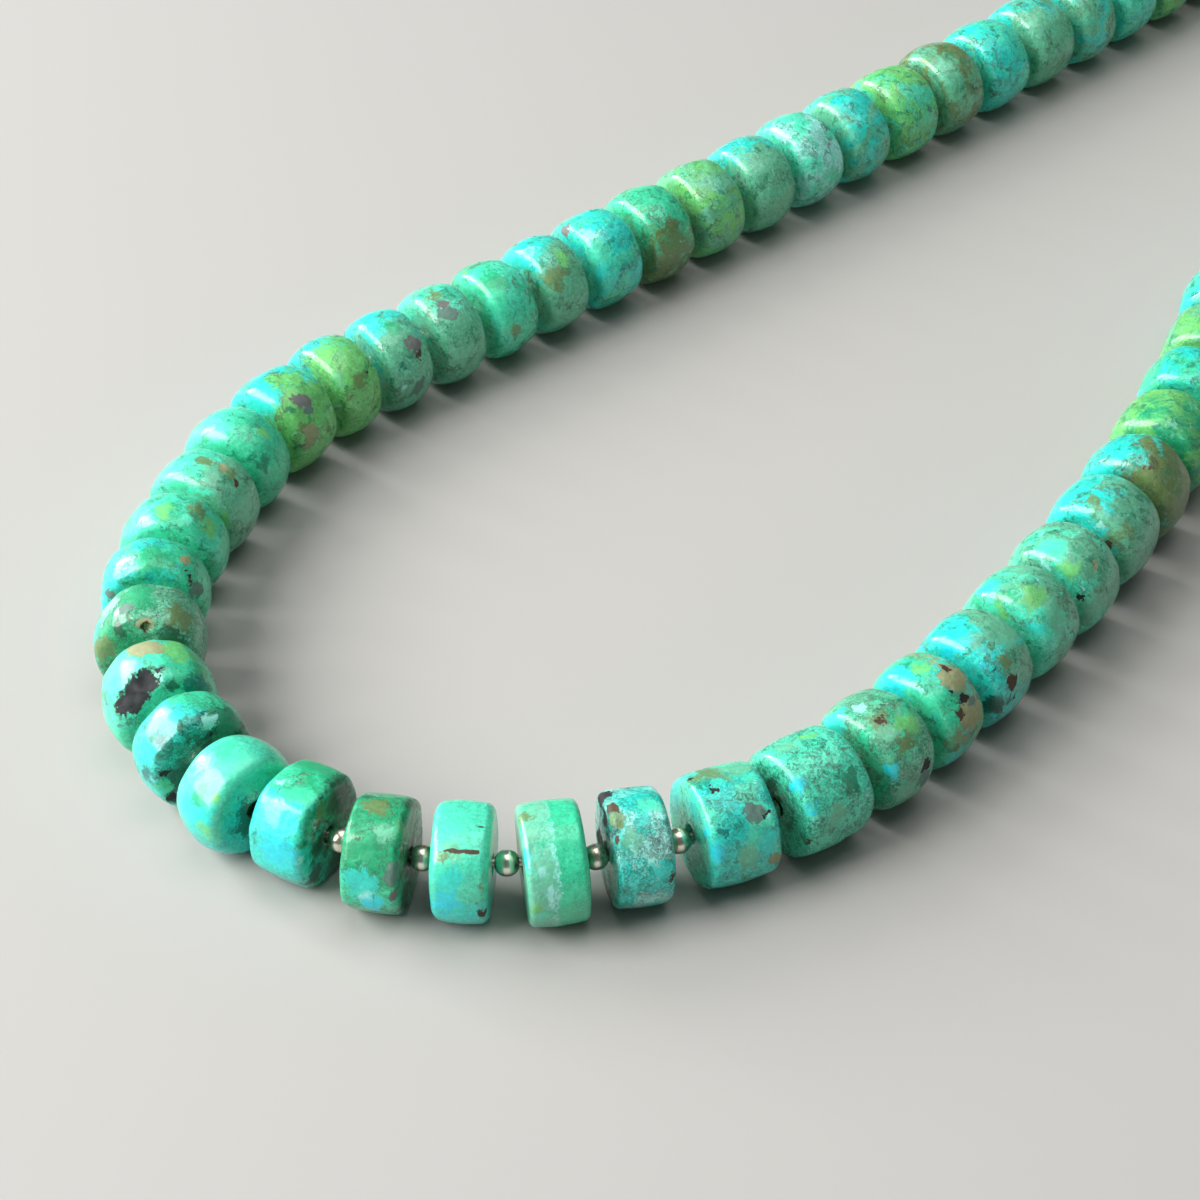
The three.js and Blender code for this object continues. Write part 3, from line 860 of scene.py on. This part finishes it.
# ------------------------------------------------------------------------------------------
# The beading wire. Seven twisted steel strands in a clear nylon skin, 0.8 mm thick, through
# every bore and bead, and crimped into a ferrule at each end of the clasp.
WIRE = 0.76
STRANDS = 7
GROOVES = 0.1  # depth of the grooves between the strands, as a share of the radius
WIRE_SIDES = 14
TWIST = 3.0  # millimetres in which a groove moves on by one strand
route = []
for i in range(int(STRING_LENGTH) + 1):
    x, y, heading = on_string(min(i, STRING_LENGTH))
    route.append((x + SHIFT_X, y + SHIFT_Y, heading))
levels = [(place["x"], place["y"], place["across"] / 2) for place in places]
points = []
for i, (x, y, heading) in enumerate(route):
    nearest = sorted(levels, key=lambda level: (level[0] - x) ** 2 + (level[1] - y) ** 2)[:2]
    weights = [1 / (0.5 + math.hypot(level[0] - x, level[1] - y)) for level in nearest]
    z = sum(weight * level[2] for weight, level in zip(weights, nearest)) / sum(weights)
    for k in range(WIRE_SIDES):
        angle = 2 * math.pi * k / WIRE_SIDES
        groove = 0.5 + 0.5 * math.cos(STRANDS * angle + i * 2 * math.pi / TWIST)
        r = WIRE / 2 * (1 - GROOVES * groove)
        side = r * math.cos(angle)
        over = (x + side * math.sin(heading), y - side * math.cos(heading), z + r * math.sin(angle))
        points.append(tuple(part * MM for part in over))
faces = skin(len(route), WIRE_SIDES, closed=False)
faces.append(tuple(range(WIRE_SIDES)))
faces.append(tuple(range(len(points) - 1, len(points) - WIRE_SIDES - 1, -1)))
wire_mesh = smooth_mesh("beading_wire", points, faces)
wire = put_in_scene("beading_wire", wire_mesh)
wire_mesh.materials.append(plated_metal("steel_wire", (190, 186, 178), 0.22))
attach(wire, "root")
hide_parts("front_string")

# ------------------------------------------------------------------------------------------
# The clasp. A screw barrel of the same plated brass, turned in two halves that meet at a seam,
# with a milled grip on each and a ferrule at either end that the wire is crimped into.
low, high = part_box("clasp")
GRIP = 3.15  # radius over the milled grip
NOTCH = 0.13  # depth of a notch in it
# Radius and distance from the middle, from the ferrule's wire hole to the shoulder of the grip.
HALF_OUTLINE = [
    (0.45, 6.15), (1.45, 6.15), (1.6, 6.0), (1.6, 5.5), (1.35, 5.35),
    (1.35, 5.15), (1.7, 5.0), (2.9, 4.25), (GRIP, 4.0),
]
clasp_outline = [(r, -y) for r, y in HALF_OUTLINE]
for edge in np.linspace(-3.8, -0.6, 9):
    clasp_outline += [(GRIP, edge - 0.1), (GRIP - NOTCH, edge), (GRIP, edge + 0.1)]
clasp_outline += [(GRIP, -0.12), (2.95, -0.06), (2.95, 0.06), (GRIP, 0.12)]
for edge in np.linspace(0.6, 3.8, 9):
    clasp_outline += [(GRIP, edge - 0.1), (GRIP - NOTCH, edge), (GRIP, edge + 0.1)]
clasp_outline += reversed(HALF_OUTLINE)
left_end = on_string(0)
right_end = on_string(STRING_LENGTH)
way = math.atan2(left_end[1] - right_end[1], left_end[0] - right_end[0])
clasp_frame = Matrix.Translation((low + high) / 2) @ Matrix.Rotation(way - math.pi / 2, 4, "Z")
clasp = put_in_scene("screw_clasp", turned_mesh("screw_clasp", [clasp_outline], [clasp_frame], 64))
clasp.data.materials.append(plated_metal("clasp_plate", (232, 214, 172), 0.14))
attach(clasp, "root")
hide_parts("clasp")

# ------------------------------------------------------------------------------------------
# The table. A plain pale sheet under the necklace, which isn't part of it.
TABLE = 3.0  # from its middle to a side, in metres
corners = [(-TABLE, -TABLE, 0), (TABLE, -TABLE, 0), (TABLE, TABLE, 0), (-TABLE, TABLE, 0)]
table_mesh = bpy.data.meshes.new("table")
table_mesh.from_pydata(corners, [], [(0, 1, 2, 3)])
table = put_in_scene("table", table_mesh)
table_paint, tree, shader = bare_material("pale_table")
shader.inputs["Base Color"].default_value = paint((168, 166, 162))
shader.inputs["Roughness"].default_value = 0.75
table_mesh.materials.append(table_paint)

# ------------------------------------------------------------------------------------------
# The light. A large soft window from the front left, a second from the left, a slim pane that
# draws a line of gloss, a weak ceiling and a dim, even room.
MIDDLE = Vector((0, -0.03, 0))


def lamp(name, where, width, height, watts):
    """A rectangle of white light that faces the middle of the necklace."""
    light = bpy.data.lights.new(name, "AREA")
    light.shape = "RECTANGLE"
    light.size = width
    light.size_y = height
    light.energy = watts
    made = put_in_scene(name, light)
    made.location = where
    made.rotation_euler = (MIDDLE - Vector(where)).to_track_quat("-Z", "Y").to_euler()


lamp("window", (-0.36, -0.62, 0.52), 0.60, 0.60, 12.0)
lamp("side_window", (-0.64, -0.22, 0.34), 0.36, 0.36, 4.4)
lamp("pane", (-0.66, -0.12, 0.24), 0.05, 0.12, 0.6)
lamp("ceiling", (0.05, 0.1, 0.9), 0.7, 0.7, 3.0)
world = bpy.data.worlds.new("room")
world.use_nodes = True
world.node_tree.nodes["Background"].inputs["Color"].default_value = (0.82, 0.86, 0.9, 1)
world.node_tree.nodes["Background"].inputs["Strength"].default_value = 0.16
bpy.context.scene.world = world
bpy.context.scene.view_settings.view_transform = "Standard"

# ------------------------------------------------------------------------------------------
# The camera, low over the front bend, looking along the loop to its far end.
lens = bpy.data.cameras.new("camera")
lens.lens = 102
lens.sensor_width = 36
lens.clip_start = 0.01
camera = put_in_scene("camera", lens)
camera.location = (0.15599, -0.22745, 0.181)
camera.rotation_euler = (math.radians(52), 0, math.radians(42))
bpy.context.scene.camera = camera
